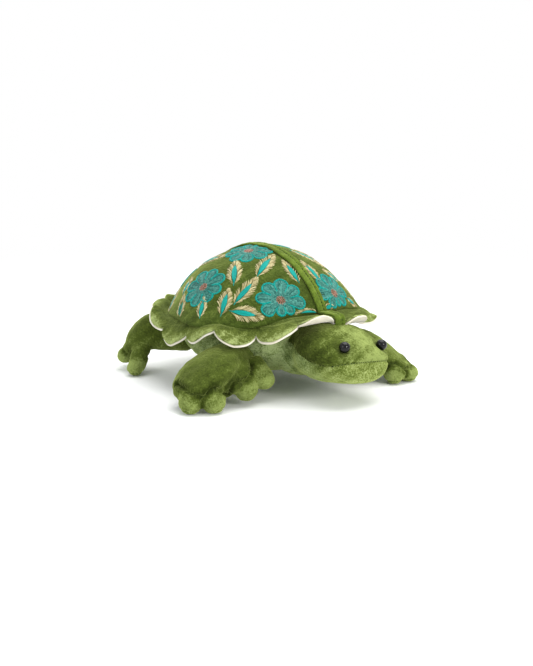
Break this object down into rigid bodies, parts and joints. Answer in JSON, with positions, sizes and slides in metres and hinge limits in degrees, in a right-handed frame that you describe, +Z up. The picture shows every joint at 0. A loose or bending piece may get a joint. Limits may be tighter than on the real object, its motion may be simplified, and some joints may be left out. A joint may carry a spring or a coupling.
{
  "type": "plush turtle",
  "caption": "Stuffed velvet turtle with an embroidered domed shell, scalloped rim, midline strap, bead eyes and four splayed, toed feet.",
  "frame": {"origin": "on the floor, under the middle of the overall box", "axes": "+Z up; the face looks towards -Y; the turtle's right side is at -X"},
  "size_m": [0.2104, 0.2376, 0.109],
  "materials": {
    "dark_velvet": "dark olive green velvet with a soft pile",
    "leg_velvet": "green velvet with crushed highlights",
    "sage_plush": "sage green crushed plush",
    "rim_velvet": "light olive velvet",
    "strap_velvet": "yellow green velvet ribbon",
    "cream_lining": "cream woven lining",
    "stuffing": "loose white polyester fibre",
    "dark_thread": "dark green sewing thread",
    "petal_thread": "dull teal embroidery thread",
    "edge_thread": "bright turquoise embroidery thread",
    "gold_thread": "cream gold embroidery thread",
    "rose_thread": "dusty pink embroidery thread",
    "black_bead": "polished black bead",
    "washer_plastic": "moulded white washer"
  },
  "bodies": {
    "torso": {"body_back_panel": "sage_plush", "body_belly_panel": "sage_plush", "body_filling": "stuffing", "shell_dome_cover": "dark_velvet", "shell_dome_filling": "stuffing", "shell_base_pad": "cream_lining", "shell_rim_velvet": "rim_velvet", "shell_rim_lining": "cream_lining", "shell_strap": "strap_velvet"},
    "head": {"head_upper_panel": "dark_velvet", "head_lower_panel": "sage_plush", "head_filling": "stuffing", "mouth_stitch": "dark_thread", "right_eye_bead": "black_bead", "right_eye_washer": "washer_plastic", "left_eye_bead": "black_bead", "left_eye_washer": "washer_plastic"},
    "right_front_leg": {"right_front_leg_upper_panel": "leg_velvet", "right_front_leg_sole_panel": "sage_plush", "right_front_leg_filling": "stuffing"},
    "left_front_leg": {"left_front_leg_upper_panel": "leg_velvet", "left_front_leg_sole_panel": "sage_plush", "left_front_leg_filling": "stuffing"},
    "right_hind_leg": {"right_hind_leg_upper_panel": "leg_velvet", "right_hind_leg_sole_panel": "sage_plush", "right_hind_leg_filling": "stuffing"},
    "left_hind_leg": {"left_hind_leg_upper_panel": "leg_velvet", "left_hind_leg_sole_panel": "sage_plush", "left_hind_leg_filling": "stuffing"}
  },
  "joints": [
    {"name": "head_turn", "type": "hinge", "parent": "torso", "child": "head", "pos_m": [0.00966, -0.03925, 0.0335], "axis": [0, 0, 1], "range_deg": [-12, 12], "stiffness_Nm_per_rad": 0.04},
    {"name": "right_front_leg_swing", "type": "hinge", "parent": "torso", "child": "right_front_leg", "pos_m": [-0.03934, -0.02725, 0.028], "axis": [0, 0, 1], "range_deg": [-12, 18], "stiffness_Nm_per_rad": 0.02},
    {"name": "left_front_leg_swing", "type": "hinge", "parent": "torso", "child": "left_front_leg", "pos_m": [0.05866, -0.02725, 0.028], "axis": [0, 0, -1], "range_deg": [-18, 5], "stiffness_Nm_per_rad": 0.02},
    {"name": "right_hind_leg_swing", "type": "hinge", "parent": "torso", "child": "right_hind_leg", "pos_m": [-0.03034, 0.06675, 0.031], "axis": [0, 0, 1], "range_deg": [-12, 12], "stiffness_Nm_per_rad": 0.02},
    {"name": "left_hind_leg_swing", "type": "hinge", "parent": "torso", "child": "left_hind_leg", "pos_m": [0.04966, 0.06675, 0.031], "axis": [0, 0, -1], "range_deg": [-12, 12], "stiffness_Nm_per_rad": 0.02}
  ]
}
